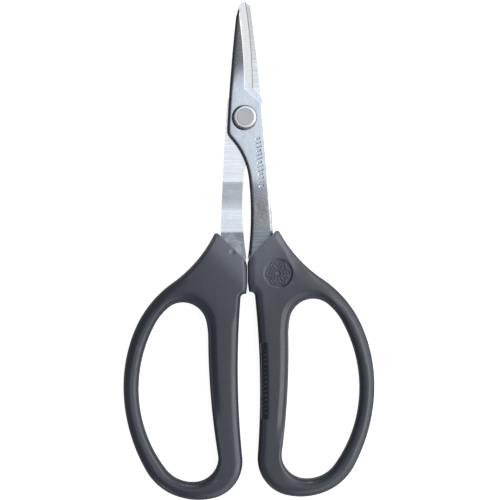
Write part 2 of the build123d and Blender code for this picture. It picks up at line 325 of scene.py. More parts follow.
def make_piece(name, corners, faces, below, marks, up, turned, materials):
    """A mesh drawn in millimetres about the pivot, as it is or turned over for the other half.

    The faces numbered in below are its under side, which takes the last of the materials. marks
    are numbers at the corners that a material reads by name."""
    x, y, z = corners.T
    sign = -1 if turned else 1
    placed = np.column_stack([
        PIVOT.x + sign * x * MM, PIVOT.y + (y + up) * MM, PIVOT.z + sign * z * MM])
    mesh = bpy.data.meshes.new(name)
    mesh.from_pydata(placed.tolist(), [], faces)
    mesh.validate()
    mesh.update()
    mesh.shade_smooth()
    mesh.set_sharp_from_angle(angle=SHARP_ANGLE)
    for mark, values in marks.items():
        mesh.attributes.new(mark, "FLOAT", "POINT").data.foreach_set("value", values)
    for material in materials:
        mesh.materials.append(material)
    for face in mesh.polygons[below[0]:below[1]]:
        face.material_index = len(materials) - 1
    return add_object(name, mesh)


# ---- handles, in millimetres, the right one seen from above ----
# Sizes that differ between the two faces are pairs, for the underside and for the top.
HANDLE_THICK = (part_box("right_handle")[1].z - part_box("right_handle")[0].z) / MM
BOW_THICK = 8.5
STAGGER = 0.34  # each handle sits this far up (right) or down (left) from the middle
BOW_START = (11.5, -41.2)
LEG_END = (2.9, -67.7)
FRONT_FOOT = (0.57, -51.2)
NOSE = (11.19, -40.58)
OUTER_ARCS = [(27.0, -58.9), (41.3, -76.8), (45.1, -98.0), (37.4, -126.2),
              (26.4, -135.5), (13.4, -136.4), (2.8, -122.2), LEG_END]
BLOCK_CORNERS = [(2.52, -63.15, 1.6), (0.5, -63.15, 0.35), (0.06, -59.5, 2.0),
                 (0.06, -53.0, 2.0), (*FRONT_FOOT, 0.6), (*NOSE, 1.0)]
HOLE_START = (23.4, -65.9)
HOLE_ARCS = [(15.0, -72.8), (14.4, -79.0), (11.5, -120.7), (19.1, -130.7), (30.5, -125.8),
             (39.2, -104.9), (39.0, -89.0), (33.7, -73.9), (28.7, -67.8), HOLE_START]
HANDLE_OUTER_RINGS = [0.06, 0.16, 0.32, 0.52, 0.75, 1.0, 1.3, 1.65, 2.0, 2.35, 2.7, 3.2]
HANDLE_HOLE_RINGS = [0.06, 0.16, 0.3, 0.48, 0.7, 0.95, 1.15, 1.27, 1.34, 1.4, 1.47, 1.58, 1.8, 2.1,
                     2.4, 2.6, 2.8, 3.1, 3.4, 3.8]
OUTLINE_STEP = 0.6
FINE_STEP = 0.4
HANDLE_FILL = 1.1  # spacing of the loose points on the faces
EDGE_ROUND = 0.08

EDGE_SLOPE = 2.4  # width of the slope inside the outer edge,
EDGE_SLOPE_WIDE = 4.9  # wider beside the emblem,
EDGE_SLOPE_UNDER = 1.2  # and narrower under the hub
EDGE_SLOPE_DROP = 1.0
EDGE_SLOPE_BLUR = 0.15
RIM_WIDTH = 1.0  # outside the slope the edge falls away steeply
RIM_DROP = 2.2
HUB_X = (36, 24)  # the hub's own slope sets in from the first to the second of these
HUB_Y = (-75, -69)
WIDE_X = (13, 19)  # the slope grows wide between these
THIN_X = (13, 44)  # the handle thins from its own thickness to the bow's
FRONT_REACH = 6.5  # the underside falls away towards the blade over this distance
FRONT_SLOPE = 0.30
FRONT_Y = (-66, -56)

LIP_WIDTH = 1.4  # a lip runs round the finger hole, below a slope,
LIP_WIDTH_BOW = 0.5  # and narrows and ends along the bow
LIP_NARROW_X = (24, 32)
LIP_NARROW_Y = (-64, -76)
LIP_END_X = (20, 28)
LIP_END_Y = (-74, -84)
LIP_BELOW = 0.95
LIP_TILT = 0.12
LIP_ROUND = 0.4
LIP_WALL = 0.12
LIP_SLOPE_LEG = 1.5  # width of the slope along the leg,
LIP_SLOPE_TOP = 2.0  # and over the top of the hole
LIP_SLOPE_Y = (-77, -68)
LIP_SLOPE_DROP = 0.75
LIP_SLOPE_BLUR = (0.25, 0.07)
LIP_FOOT_Y = (-110, -119)  # slope and lip fade out towards the foot of the leg
LIP_FADE = 14
FOOT_ROUND = 1.3  # where a plain rounding takes over

TUBE_ROUND = 2.3  # height of the bow's rounded top above its side wall
TUBE_REACH = 10  # the flat face turns into the rounded top over this distance,
TUBE_X = 21  # from here at the upper end of the bow,
TUBE_SHIFT = 11  # and from this much nearer the leg at its lower end
TUBE_Y = (-85, -125)
CREST_START = (0.42, 0.38)  # where the bow's crest starts, as a share of its width from the hole
CREST_END = 0.48
CREST_Y = (-76, -100)
CREST_BLUR = 0.12
RIDGE = (0.12, 0.32)  # how much of a ridge the crest is, growing upwards
RIDGE_GROWTH = 0.33
RIDGE_Y = (-100, -80)

PANEL_Y = (-109.0, -81.2)
PANEL_IN = (0.55, 2.75)  # how far in from the leg's edge the panel lies
PANEL_DEPTH = 0.42
RIB_PITCH = 1.6
RIB_HEIGHT = 0.34
EMBLEM = (11.05, -56.55)
EMBLEM_RADIUS = 5.3
EMBLEM_DEPTH = 0.5
EMBLEM_WALL = 0.75  # width of the sloping wall round the recess
EMBLEM_RELIEF = 0.22  # height of the flower's lines
EMBLEM_RINGS = [4.34, 4.48, 4.62, 4.78, 4.94, 5.08, 5.2, 5.3, 5.38, 5.46, 5.6, 5.9, 6.2]
PETAL_BASE = 1.2
PETAL_LENGTH = 3.15
DIMPLE = (5.26, -48.05)
DIMPLE_RADIUS = 1.3
DIMPLE_DEPTH = 0.28
DIMPLE_WALL = 1.1
DIMPLE_RINGS = [0.2, 0.45, 0.7, 0.9, 1.05, 1.15, 1.25, 1.35, 1.45, 1.6, 1.8]
SEAM_PROUD = 0.04  # the parting line stands this far out from the side


def handle_plan():
    """The handle in plan, with lip rings that follow the lip's width."""
    outer = arc_run(BOW_START, -63, OUTER_ARCS, FINE_STEP)[3:]  # the nose's rounding replaces three
    outer += rounded_line(LEG_END, BLOCK_CORNERS, outer[0], OUTLINE_STEP)
    hole = np.array(arc_run(HOLE_START, 180.3, HOLE_ARCS, OUTLINE_STEP))
    scale = lip_width(*hole.T) / LIP_WIDTH
    return Plan(np.array(outer), hole, HANDLE_OUTER_RINGS, HANDLE_HOLE_RINGS, HANDLE_FILL, scale)


def lip_width(x, y):
    """Width of the lip round the finger hole, which narrows along the bow."""
    along_bow = grow(x, *LIP_NARROW_X) * grow(y, *LIP_NARROW_Y)
    return LIP_WIDTH - (LIP_WIDTH - LIP_WIDTH_BOW) * along_bow


def from_front(x, y):
    """Distance inside the slanting front edge, where the blade comes out."""
    return ((x - FRONT_FOOT[0]) - (y - FRONT_FOOT[1])) * math.sqrt(0.5)


def distance_from_sides(plan, corners):
    """Distance to the outline without its slanting front edge."""
    past_front = from_front(*plan.outer.T) > 0.3
    first = np.flatnonzero(~past_front)[-1] + 1
    sides = np.roll(plan.outer, -first, axis=0)[:past_front.sum()]
    return distance_to(corners, sides, closed=False)


def hub_height(x, y, half, from_edge, from_side, is_top):
    """Hub and leg: a flat face with a sloping shoulder and a steep rim."""
    hub_slope = EDGE_SLOPE_UNDER
    if is_top:
        hub_slope = EDGE_SLOPE + (EDGE_SLOPE_WIDE - EDGE_SLOPE) * grow(x, *WIDE_X)
    in_hub = grow(x, *HUB_X) * grow(y, *HUB_Y)
    shoulder = EDGE_SLOPE + (hub_slope - EDGE_SLOPE) * in_hub
    into_rim = np.clip(1 - from_side / RIM_WIDTH, 0, 1)
    face = half - EDGE_SLOPE_DROP * soft_ramp(1 - from_side / shoulder, EDGE_SLOPE_BLUR)
    face = face - RIM_DROP * (1 - np.sqrt(1 - into_rim ** 2)) - quarter_round(from_edge, EDGE_ROUND)
    if not is_top:
        to_front = np.clip(FRONT_REACH - from_front(x, y), 0, FRONT_REACH)
        face = face - FRONT_SLOPE / FRONT_REACH / 2 * to_front ** 2 * grow(y, *FRONT_Y)
    return face


def bow_height(y, half, from_edge, from_hole, is_top):
    """Bow: upright sides and a rounded top, its crest nearer the hole at the upper end."""
    start = CREST_START[is_top]
    crest_share = start + (CREST_END - start) * grow(y, *CREST_Y)
    across = from_hole + from_edge
    crest = crest_share * across
    from_crest = np.maximum(1 - from_hole / crest, 1 - from_edge / (across - crest))
    from_crest = np.clip(from_crest, 0, 1)
    ridge = RIDGE[is_top] + RIDGE_GROWTH * grow(y, *RIDGE_Y)
    slant = np.sqrt(from_crest ** 2 + CREST_BLUR ** 2) - CREST_BLUR
    return half - TUBE_ROUND * (1 - np.sqrt(1 - from_crest ** 2)) - ridge * slant


def body_height(plan, corners, is_top):
    """Height of the face above the mid-plane, without emblem, panel or dimple."""
    x, y = corners.T
    from_edge, from_hole = distance_to(corners, plan.outer), distance_to(corners, plan.hole)
    half = HANDLE_THICK / 2 - (HANDLE_THICK - BOW_THICK) / 2 * grow(x, *THIN_X)
    face = hub_height(x, y, half, from_edge, distance_from_sides(plan, corners), is_top)

    # the slope round the finger hole, which a plain rounding replaces at the foot of the leg
    above_foot = smooth((y - LIP_FOOT_Y[is_top]) / LIP_FADE)
    lip = lip_width(x, y)
    slope_width = LIP_SLOPE_LEG + (LIP_SLOPE_TOP - LIP_SLOPE_LEG) * grow(y, *LIP_SLOPE_Y)
    down_slope = np.clip(1 - (from_hole - lip) / slope_width, -1, 1)
    face = face - LIP_SLOPE_DROP * above_foot * soft_ramp(down_slope, LIP_SLOPE_BLUR[is_top])
    face = face - (1 - above_foot) * quarter_round(from_hole, FOOT_ROUND)

    tube = bow_height(y, half, from_edge, from_hole, is_top)
    tube_start = TUBE_X - TUBE_SHIFT * grow(y, *TUBE_Y)
    shape = face + (tube - face) * smooth((x - tube_start) / TUBE_REACH)

    # the lip is cut into both, and fades along the bow and at the foot of the leg
    lip_top = half - LIP_BELOW - LIP_TILT * (lip - from_hole) - quarter_round(from_hole, LIP_ROUND)
    fade = 1 - grow(x, *LIP_END_X) * grow(y, *LIP_END_Y)
    fade = fade * above_foot * smooth((lip - from_hole) / LIP_WALL)
    return shape - fade * np.maximum(shape - lip_top, 0)


def emblem_height(x, y):
    """A round recess with a plain flower of six petals drawn in raised lines."""
    dx, dy = x - EMBLEM[0], y - EMBLEM[1]
    out = np.hypot(dx, dy)
    angle = np.arctan2(dy, dx)
    recess = -EMBLEM_DEPTH * smooth((EMBLEM_RADIUS + 0.1 - out) / EMBLEM_WALL)
    petal = PETAL_BASE + PETAL_LENGTH * np.abs(np.cos(3 * angle)) ** 0.6
    lines = smooth(1 - np.abs(out - petal) / 0.34)
    lines = np.maximum(lines, smooth(1 - np.abs(out - 0.95) / 0.3))
    from_rib = np.abs(np.sin(3 * angle)) * out / 3
    rib = smooth(1 - from_rib / 0.26) * grow(out, 1.5, 1.7) * grow(out, 3.5, 3.2)
    lines = np.maximum(lines, rib)
    return recess + EMBLEM_RELIEF * lines * (out < EMBLEM_RADIUS - 0.6)


def in_panel(x, y, from_edge):
    """1 inside the panel along the leg's inner shoulder, 0 outside it."""
    return within(y, *PANEL_Y, 0.3) * within(from_edge, *PANEL_IN, 0.15) * (x < 9)


def panel_height(x, y, from_edge):
    """The panel is shallow, with ribs left standing in it."""
    phase = ((y - PANEL_Y[0]) / RIB_PITCH) % 1
    rib = smooth(1.4 - np.abs(phase - 0.5) * 5)
    rib *= within(from_edge, PANEL_IN[0] + 0.35, PANEL_IN[1] - 0.35, 0.2)
    rib *= within(y, PANEL_Y[0] + 1, PANEL_Y[1] - 3, 0.3)
    return in_panel(x, y, from_edge) * (-PANEL_DEPTH + RIB_HEIGHT * rib)


def dimple_height(x, y):
    """A small shallow round mark."""
    out = np.hypot(x - DIMPLE[0], y - DIMPLE[1])
    return -DIMPLE_DEPTH * smooth((DIMPLE_RADIUS + 0.1 - out) / DIMPLE_WALL)


def build_moulding():
    """The moulding as the right handle: emblem and panel above, dimple below."""
    plan = handle_plan()

    def marked(corners):
        x, y = corners.T
        from_edge = distance_to(corners, plan.outer)
        return body_height(plan, corners, True) + emblem_height(x, y) + panel_height(x, y, from_edge)

    def plain(corners):
        return -body_height(plan, corners, False) - dimple_height(*corners.T)

    def wall(point, z_low, z_high):
        """Side rows: a fine parting seam in the middle, none on the block that is the stop."""
        proud = 0.0 if point[0] < 1.5 and point[1] > -64 else SEAM_PROUD
        return [(0.14, 0.0), (0.05, proud), (-0.05, proud), (-0.14, 0.0)]

    emblem_radii = [0.2 * k for k in range(1, 22)] + EMBLEM_RINGS
    top = plan.face(marked, [(EMBLEM, 6.4, emblem_radii, 0.22)])
    low = plan.face(plain, [(DIMPLE, 2.0, DIMPLE_RINGS, 0.25)])
    corners, faces, below = plan.solid(top, low, wall)
    x, y, z = corners.T
    # mark for the painted shade in the recessed panel, on the top only
    shaded_panel = in_panel(x, y, distance_to(corners[:, :2], plan.outer)) * (z > 0)
    return corners, faces, below, {"panel": shaded_panel}


# ---- blades, in millimetres about the pivot, drawn as the front one ----
BLADE_THICK = 2.4
BLADE_LIFT = 0.015  # half the gap between the blades
EDGE_RADIUS = 205.0  # the cutting edge is an arc that reaches furthest out at EDGE_X, EDGE_Y
EDGE_X = 2.9
EDGE_Y = 12.0
TIP_Y = 41.5
HEEL_Y = 10.5
SHOULDER = (6.35, 6.3)
BEVEL_TURN = (-0.45, 10.2)  # the bevel's inner line runs down to here,
BEVEL_END = (4.7, 5.5)  # and then slants through here
EDGE_LAND = 0.35
BEVEL_WIDTH = 3.1
SPINE_CHAMFER = 0.8
SPINE_CHAMFER_DEPTH = 0.5
SPINE_CHAMFER_BLUR = 0.32
BLADE_EDGE_ROUND = 0.06
RIGHT_SIDE_LEAN = 0.062  # the shank's right side runs outwards by this much per mm down
FACET_TILT = 8.0  # degrees, a little less at the tip
FACET_TIP_TILT = 6.6
FACET_Y = (9.0, 21.0)  # the facet twists in between these
BEND_Y = (-23.1, -33.3)
BEND_STEP = 1.215
TANG_Y = -50.0
STAMP_FIRST = (4.3, -7.8)
STAMP_LAST = (5.45, -24.8)
STAMP_COUNT = 13
STAMP_SLANT = math.radians(14)
STAMP_DEPTH = 0.14
FRONT_TIP = (-1.55, 40.5)  # where the spine is cut off at the tip
REAR_TIP = (-2.4, 40.2)
BLADE_FILL = 0.8
BLADE_RINGS = [0.05, 0.12, 0.25, 0.4, 0.55, 0.68, 0.76, 0.84, 0.95, 1.15, 1.5]
PIVOT_RINGS = [0.08, 0.4, 0.9]


def edge_x(y, inset=0.0):
    """X of the cutting edge, or of a line a fixed distance inside it."""
    radius = EDGE_RADIUS - inset
    return EDGE_X - EDGE_RADIUS + np.sqrt(radius ** 2 - (y - EDGE_Y) ** 2)


def blade_plan(tip_corner, hole):
    """Blade, shank and tang in plan, clockwise from the tip of the cutting edge."""
    heel = (float(edge_x(HEEL_Y)), HEEL_Y)
    edge_ys = np.linspace(TIP_Y, HEEL_Y, 70)[:-1]
    outer = [(float(edge_x(y)), y) for y in edge_ys]

    def run(start, *stops):
        """Adds lines from start on; each stop is an end, how far the line bows, and a step."""
        for end, sag, step in stops:
            outer.extend(bowed_line(start, end, sag, step))
            start = end

    run(heel, (SHOULDER, 0, 0.3), ((9.35, -42.0), 0.27, 0.5), ((11.8, -60), 0, 1.0),
        ((11.8, -95.2), 0, 1.5))
    outer += arc_run((11.8, -95.2), -90, [(6.2, -95.2)], 0.6)
    run((6.2, -95.2), ((6.2, -62), 0, 1.5), ((3.4, -56), 0, 1.0), ((0.25, -50.6), 0, 1.0))
    outer += arc_run((0.25, -50.6), 81.5, [(1.0, -22.2), (-5.0, -8.0)], 0.4)
    outer += rounded_line((-5.0, -8.0), [(-6.62, -6.0, 3.5)], (-6.5, -3.0), 0.4)
    run((-6.5, -3.0), ((-2.84, 35.8), 0.25, 0.5), (tip_corner, 0, 0.5), ((-0.2, TIP_Y), 0, 0.3),
        (outer[0], 0, 0.2))
    return Plan(np.array(outer), hole, BLADE_RINGS, PIVOT_RINGS, BLADE_FILL)


def bevel_slant():
    """Where the bevel's inner line turns along the shoulder, the heel, and the line's way on."""
    turn = np.array([edge_x(BEVEL_TURN[1], BEVEL_WIDTH), BEVEL_TURN[1]])
    heel = np.array([edge_x(HEEL_Y), HEEL_Y])
    along = np.array(BEVEL_END) - turn
    return turn, heel, along / np.linalg.norm(along)


def bevel_drop(corners):
    """How far the main bevel lies below the outer face, turning along the shoulder at the heel."""
    x, y = corners.T
    rise = (BLADE_THICK - EDGE_LAND) / BEVEL_WIDTH
    from_centre = np.hypot(x - EDGE_X + EDGE_RADIUS, y - EDGE_Y)
    main = rise * (from_centre - EDGE_RADIUS + BEVEL_WIDTH)
    turn, heel, along = bevel_slant()
    away = np.array([-along[1], along[0]])
    slope = (BLADE_THICK - EDGE_LAND) / ((heel - turn) @ away)
    shoulder = slope * ((corners - turn) @ away)
    return np.maximum(np.minimum(main, shoulder), 0)


def bend_drop(y, blur):
    """The shank's step down to the mid-plane; blur rounds the two bends."""
    fall = BEND_STEP / (BEND_Y[0] - BEND_Y[1])
    return fall * (soft_ramp(BEND_Y[0] - y, blur) - soft_ramp(BEND_Y[1] - y, blur))


def stamp_depth(corners):
    """Slanted bars pressed into the outer face along the shank."""
    depth = np.zeros(len(corners))
    for i, centre in enumerate(np.linspace(STAMP_FIRST, STAMP_LAST, STAMP_COUNT)):
        half_length = 1.2 if i % 3 else 0.85
        dx, dy = (corners - centre).T
        along = np.abs(dx * math.cos(STAMP_SLANT) + dy * math.sin(STAMP_SLANT))
        across = np.abs(dy * math.cos(STAMP_SLANT) - dx * math.sin(STAMP_SLANT))
        bar = smooth((half_length - along) / 0.15) * smooth((0.36 - across) / 0.2)
        depth = np.maximum(depth, STAMP_DEPTH * bar)
    return depth


def stamp_rows():
    """Rows of points fine enough for the stamped bars."""
    first, last = np.array(STAMP_FIRST), np.array(STAMP_LAST)
    along = (last - first) / np.linalg.norm(last - first)
    aside = np.array([-along[1], along[0]])
    ends = np.arange(-0.8, np.linalg.norm(last - first) + 0.8, 0.11)
    return [first + aside * offset + ends[:, None] * along for offset in np.arange(-1.5, 1.51, 0.15)]


def blade_rows():
    """Rows of points on the bevel and along its creases, and on the shank's two bends."""
    rows = []
    for inset in (0.8, 1.6, 2.4, BEVEL_WIDTH - 0.06, BEVEL_WIDTH, BEVEL_WIDTH + 0.06):
        mitre_y = HEEL_Y + (BEVEL_TURN[1] - HEEL_Y) * inset / BEVEL_WIDTH
        rows.append(np.array([(edge_x(y, inset), y) for y in np.linspace(TIP_Y, mitre_y + 0.06, 90)]))
    turn, heel, along = bevel_slant()
    rows += [turn + (heel - turn) * share + np.linspace(0.06, 8, 30)[:, None] * along
             for share in (-0.02, 0.0, 0.02, 0.25, 0.5, 0.75)]
    rows.append(turn + (heel - turn) * np.linspace(0.04, 0.97, 14)[:, None])
    bends = [np.array([(x, bend + offset) for x in np.arange(-1, 10.5, 0.5)])
             for bend in BEND_Y for offset in (0.5, 0, -0.5)]
    return rows, bends


def build_blade(tip_corner, hole, stamped):
    """One blade with its shank and tang, its inner face flat."""
    plan = blade_plan(tip_corner, hole)
    edge_line = np.array([(edge_x(y), y) for y in np.linspace(TIP_Y + 1, HEEL_Y, 60)]
                         + [SHOULDER, (6.4, 5.6)])
    bend_blur = 2.5 if stamped else 0.5

    def dressed(corners):
        """1 where the outline is chamfered: not at the cutting edge, the tip or along the tang."""
        y = corners[:, 1]
        from_cut = distance_to(corners, edge_line, closed=False)
        inside_ends = smooth((y - TANG_Y) / 0.5) * smooth((TIP_Y - 2 - y) / 1.5)
        return grow(from_cut, 0.9, 1.3) * inside_ends

    def outer_face(corners):
        x, y = corners.T
        from_edge = distance_to(corners, plan.outer)
        slope = SPINE_CHAMFER_DEPTH / SPINE_CHAMFER
        chamfer = slope * soft_ramp(SPINE_CHAMFER - from_edge, SPINE_CHAMFER_BLUR)
        chamfer = dressed(corners) * (chamfer + quarter_round(from_edge, BLADE_EDGE_ROUND))
        tilt = FACET_TILT + (FACET_TIP_TILT - FACET_TILT) * grow(y, 26, 38)
        tilt = np.radians(tilt) * grow(y, *FACET_Y)
        facet = np.tan(tilt) * np.maximum(edge_x(y, BEVEL_WIDTH) - x, 0)
        drop = np.maximum(bevel_drop(corners), facet + chamfer) + bend_drop(y, bend_blur)
        if stamped:
            drop = drop + stamp_depth(corners)
        return BLADE_LIFT + BLADE_THICK - drop

    def inner_face(corners):
        return BLADE_LIFT - bend_drop(corners[:, 1], bend_blur)

    def wall(point, z_low, z_high):
        return [(z_high - (z_high - z_low) * share, 0.0) for share in (0.03, 0.5, 0.97)]

    rows, bends = blade_rows()
    upper = plan.face(outer_face, rows=rows + bends + (stamp_rows() if stamped else []))
    lower = plan.face(inner_face, rows=bends)
    corners, faces, below = plan.solid(upper, lower, wall)
    x, y, z = corners.T
    # mark for the painted shade on the chamfers: on the outer face, and only away from the shank's right
    # side
    chamfer = smooth((SPINE_CHAMFER + 0.1 - distance_to(corners[:, :2], plan.outer)) / 0.2)
    from_right = SHOULDER[0] + RIGHT_SIDE_LEAN * (SHOULDER[1] - y) - x
    on_spine = smooth(from_right - 2) * (z > 0)
    return corners, faces, below, {"chamfer": chamfer * dressed(corners[:, :2]) * on_spine}


# ---- the pivot bolt ----
BOLT_RADIUS = 2.5
BOLT_PLAY = 0.05  # in the front blade
HOLE_POINTS = 56
BOLT_FLAT = 2.1  # half the width across the flats that key it in the rear blade
THREAD_RADIUS = 2.0
HEAD_RADIUS = 3.9
HEAD_RING = 3.12  # a polished ring lies outside this radius, painted lighter as a highlight
HEAD_EDGE = 0.14  # radius of its rolled edge
THREAD_PITCH = 0.5
BOLT_SEGMENTS = 96


def bolt_profile():
    """Rows of radius and height up the bolt, in millimetres, and which two rows have the flats."""
    head_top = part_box("pivot_bolt")[1].z / MM - MID_Z
    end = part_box("pivot_bolt")[0].z / MM - MID_Z
    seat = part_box("head_washer")[1].z / MM - MID_Z
    rear_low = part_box("spring_washer")[1].z / MM - MID_Z
    rows = [(0.4, end), (1.3, end), (1.72, end + 0.02), (1.85, end + 0.14)]
    z = end + 0.3
    while z < rear_low - 0.3:
        rows += [(THREAD_RADIUS - 0.22, z), (THREAD_RADIUS, z + 0.2), (THREAD_RADIUS, z + 0.27)]
        z += THREAD_PITCH
    rows += [(THREAD_RADIUS - 0.2, rear_low - 0.05), (THREAD_RADIUS - 0.2, rear_low)]
    keyed = (len(rows), len(rows) + 1)
    rows += [(BOLT_RADIUS, rear_low), (BOLT_RADIUS, -BLADE_LIFT), (BOLT_RADIUS, -BLADE_LIFT),
             (BOLT_RADIUS, seat), (HEAD_RADIUS - 0.12, seat), (HEAD_RADIUS, seat + 0.12)]
    roll_radius, roll_z = HEAD_RADIUS - HEAD_EDGE, head_top - 0.05 - HEAD_EDGE
    for k in range(7):
        angle = math.radians(14 * k)
        rows.append((roll_radius + HEAD_EDGE * math.cos(angle), roll_z + HEAD_EDGE * math.sin(angle)))
    rows += [(3.5, head_top - 0.02), (HEAD_RING, head_top), (HEAD_RING - 0.08, head_top - 0.1),
             (HEAD_RING - 0.18, head_top - 0.1), (HEAD_RING - 0.28, head_top - 0.02),
             (1.6, head_top - 0.03), (0.4, head_top - 0.04)]
    return rows, keyed


def build_bolt():
    """The bolt turned about its axis, with flats where it is keyed."""
    corners = []
    faces = []
    rows, keyed = bolt_profile()
    for k, (radius, z) in enumerate(rows):
        widest = BOLT_FLAT if k in keyed else radius
        corners += [(float(np.clip(x, -widest, widest)), y, z)
                    for x, y in circle((0, 0), radius, BOLT_SEGMENTS)]
    for k in range(len(rows) - 1):
        for i in range(BOLT_SEGMENTS):
            after = (i + 1) % BOLT_SEGMENTS
            low, high = k * BOLT_SEGMENTS, (k + 1) * BOLT_SEGMENTS
            faces.append((low + i, low + after, high + after, high + i))
    last = (len(rows) - 1) * BOLT_SEGMENTS
    faces.append(tuple(reversed(range(BOLT_SEGMENTS))))
    faces.append(tuple(last + i for i in range(BOLT_SEGMENTS)))
    return np.array(corners), faces, (0, 0), {}


# ---- materials; the heights along Y are in millimetres from the pivot ----
CHROME_MATT_Y = (-29.0, -34.0)
CHROME_GROUND_Y = (-38.6, -40.6)
INNER_DARK_Y = (-40.9, -41.6)


def add_node(tree, kind, settings, inputs, output):
    """A new shader node with these settings and inputs; gives back one of its outputs."""
    made = tree.nodes.new("ShaderNode" + kind)
    for name, value in settings.items():
        setattr(made, name, value)
    for socket, value in inputs.items():
        if isinstance(value, bpy.types.NodeSocket):
            tree.links.new(value, made.inputs[socket])
        else:
            made.inputs[socket].default_value = value
    return made.outputs[output]


class Paint:
    """One material and short calls that add nodes to it."""

    def __init__(self, name, colour, metallic, roughness):
        self.material = bpy.data.materials.new(name)
        self.material.use_nodes = True
        self.tree = self.material.node_tree
        self.shader = self.tree.nodes["Principled BSDF"]
        self.shader.inputs["Base Color"].default_value = (*colour, 1)
        self.shader.inputs["Metallic"].default_value = metallic
        self.shader.inputs["Roughness"].default_value = roughness

    def add(self, kind, settings, inputs, output):
        return add_node(self.tree, kind, settings, inputs, output)

    def link(self, value, socket):
        self.tree.links.new(value, self.shader.inputs[socket])

    def place(self):
        """Object coordinates in millimetres from the pivot."""
        raw = self.add("TexCoord", {}, {}, "Object")
        centred = self.vector("SUBTRACT", raw, tuple(PIVOT))
        return self.add("VectorMath", {"operation": "SCALE"}, {0: centred, "Scale": 1 / MM}, "Vector")

    def noise(self, place, scale, detail=3.0, rough=0.5, twist=0.0):
        """Noise whose features are about 1 / scale millimetres along each axis."""
        scaled = self.vector("MULTIPLY", place, scale)
        inputs = {"Vector": scaled, "Scale": 1.0, "Detail": detail, "Roughness": rough, "Distortion": twist}
        return self.add("TexNoise", {}, inputs, "Fac")

    def vector(self, operation, a, b):
        return self.add("VectorMath", {"operation": operation}, {0: a, 1: b}, "Vector")

    def out_from(self, centre, place):
        """Distance of the place from an upright axis through centre."""
        spoke = self.vector("MULTIPLY", self.vector("SUBTRACT", place, centre), (1, 1, 0))
        return self.add("VectorMath", {"operation": "LENGTH"}, {0: spoke}, "Value")

    def axis(self, place, name):
        return self.add("SeparateXYZ", {}, {0: place}, name)

    def math(self, operation, a, b=0.0):
        return self.add("Math", {"operation": operation}, {0: a, 1: b}, "Value")

    def spread(self, value, low, high, to_low=0.0, to_high=1.0):
        """value from low..high carried smoothly over to to_low..to_high."""
        inputs = {"Value": value, "From Min": low, "From Max": high, "To Min": to_low, "To Max": to_high}
        return self.add("MapRange", {"interpolation_type": "SMOOTHSTEP"}, inputs, "Result")

    def mix(self, share, a, b):
        """Colour a where share is 0, b where it is 1."""
        inputs = {0: share, 7: (*b, 1)} if isinstance(b, tuple) else {0: share, 7: b}
        inputs[6] = (*a, 1) if isinstance(a, tuple) else a
        return self.add("Mix", {"data_type": "RGBA"}, inputs, 2)

    def blend(self, a, b, value, low, high, share=1.0):
        """Colour a where value is low, and where it is high that share of colour b."""
        return self.mix(self.spread(value, low, high, 0.0, share), a, b)

    def times(self, a, b):
        return self.math("MULTIPLY", a, b)

    def bump(self, height, depth_mm, under=None):
        """Bump whose height runs from 0 to depth_mm."""
        inputs = {"Height": height, "Strength": 1.0, "Distance": depth_mm * MM}
        if under is not None:
            inputs["Normal"] = under
        return self.add("Bump", {}, inputs, "Normal")

    def sharp_edges(self):
        """1 on convex edges, 0 on flat faces."""
        pointed = self.add("NewGeometry", {}, {}, "Pointiness")
        return self.spread(pointed, 0.52, 0.58)


def handle_plastic():
    """Satin moulded plastic with a fine grain, faint flow marks, scuffs and polished edges. Painted light
    makes the sloping front lighter, the colour turns darker further back, and painted shade darkens the
    ribbed panel.
    """
    paint = Paint("handle_plastic", (0.044, 0.050, 0.070), 0.0, 0.40)
    place = paint.place()
    cloud = paint.noise(place, (0.05, 0.03, 0.05), 4, 0.6)
    colour = paint.blend((0.038, 0.045, 0.064), (0.050, 0.056, 0.076), cloud, 0.35, 0.65)
    speck = paint.noise(place, (2.2,) * 3, 2, 0.5)
    colour = paint.blend(colour, (0.068, 0.072, 0.088), speck, 0.62, 0.72, 0.3)
    # painted light: lighter near the slanting front, where the nose slopes up towards the light; darker
    # further back from it
    side = paint.math("ABSOLUTE", paint.axis(place, "X"))
    front = paint.math("SUBTRACT", side, paint.axis(place, "Y"))
    front = paint.math("SUBTRACT", front, FRONT_FOOT[0] - FRONT_FOOT[1])
    colour = paint.mix(paint.spread(front, 3.0, 15.0, 0.85, 0.0), colour, (0.094, 0.108, 0.138))
    colour = paint.blend(colour, (0.022, 0.025, 0.036), front, 14.0, 32.0, 0.45)
    edge = paint.sharp_edges()
    colour = paint.mix(paint.times(edge, 0.35), colour, (0.085, 0.09, 0.105))
    # painted shade: the recessed ribbed panel is painted near black
    panel = paint.add("Attribute", {"attribute_name": "panel"}, {}, "Fac")
    colour = paint.mix(paint.times(panel, 0.75), colour, (0.012, 0.014, 0.018))
    paint.link(colour, "Base Color")
    smear = paint.noise(place, (0.16, 0.07, 0.16), 5, 0.65, 0.6)
    rough = paint.spread(smear, 0.3, 0.7, 0.26, 0.37)
    paint.link(paint.math("SUBTRACT", rough, paint.times(edge, 0.06)), "Roughness")
    grain = paint.noise(place, (4.5,) * 3, 2, 0.5)
    normal = paint.bump(grain, 0.012)
    wave = paint.noise(place, (0.12, 0.06, 0.12), 1, 0.5)
    paint.link(paint.bump(wave, 0.08, normal), "Normal")
    return paint.material


